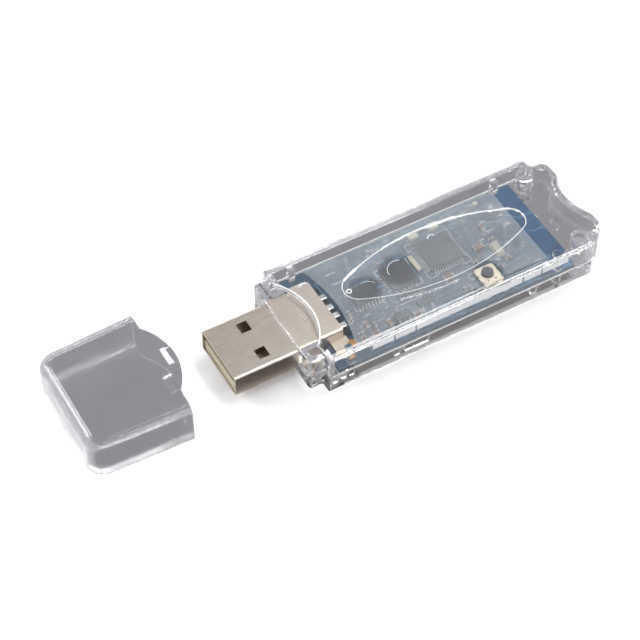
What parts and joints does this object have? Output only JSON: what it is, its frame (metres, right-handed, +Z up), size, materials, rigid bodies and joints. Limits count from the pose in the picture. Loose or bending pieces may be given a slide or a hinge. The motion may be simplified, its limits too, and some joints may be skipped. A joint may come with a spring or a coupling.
{
  "type": "usb microcontroller programmer",
  "caption": "Stick-shaped circuit board programmer in a clear two-part case with a rectangular plug at one end and a loose clear cap in front of it.",
  "frame": {"origin": "middle of the underside of the stick's case, on the surface it rests on", "axes": "+X from the plug towards the tail of the case, +Z up out of the side with the oval, +Y to the side away from the push switch"},
  "size_m": [0.0985, 0.026, 0.0086],
  "materials": {
    "clear_case": "clear, faint smoke tint, polished",
    "film": "translucent satin film",
    "plug_steel": "nickel plated, soft gloss",
    "contact_brass": "gold flashed",
    "insulator": "cream moulding",
    "board": "blue solder resist",
    "chip_resin": "moulded, matt",
    "tinned_metal": "tinned",
    "capacitor_ceramic": "fired brown",
    "led_resin": "pale clear resin",
    "crystal_ceramic": "cream",
    "lid_metal": "pressed, satin",
    "switch_resin": "moulded, matt"
  },
  "bodies": {
    "case": {"upper_shell": "clear_case", "lower_shell": "clear_case", "cover_film": "film", "plug_shell": "plug_steel", "plug_contacts": "contact_brass", "plug_tongue": "insulator", "circuit_board": "board", "usb_interface_chip": "chip_resin", "usb_interface_leads": "tinned_metal", "memory_chip": "chip_resin", "memory_pads": "tinned_metal", "microcontroller": "chip_resin", "microcontroller_leads": "tinned_metal", "voltage_regulator": "chip_resin", "regulator_leads": "tinned_metal", "esd_diode": "chip_resin", "diode_leads": "tinned_metal", "chip_resistors": "chip_resin", "small_capacitors": "capacitor_ceramic", "large_capacitors": "capacitor_ceramic", "status_leds": "led_resin", "resistor_array": "crystal_ceramic", "chip_terminals": "tinned_metal", "crystal_base": "crystal_ceramic", "crystal_lid": "lid_metal", "switch_base": "switch_resin", "switch_cover": "lid_metal", "switch_dome": "lid_metal", "switch_terminals": "tinned_metal"},
    "cap": {"cap": "clear_case"},
    "button": {"switch_button": "switch_resin"}
  },
  "joints": [
    {"name": "cap_slide", "type": "slide", "parent": "case", "child": "cap", "axis": [0.9937, -0.1123, 0], "range_m": [0, 0.02405]},
    {"name": "button_press", "type": "slide", "parent": "case", "child": "button", "axis": [0, 0, -1], "range_m": [0, 0.00025], "stiffness_N_per_m": 6400}
  ]
}
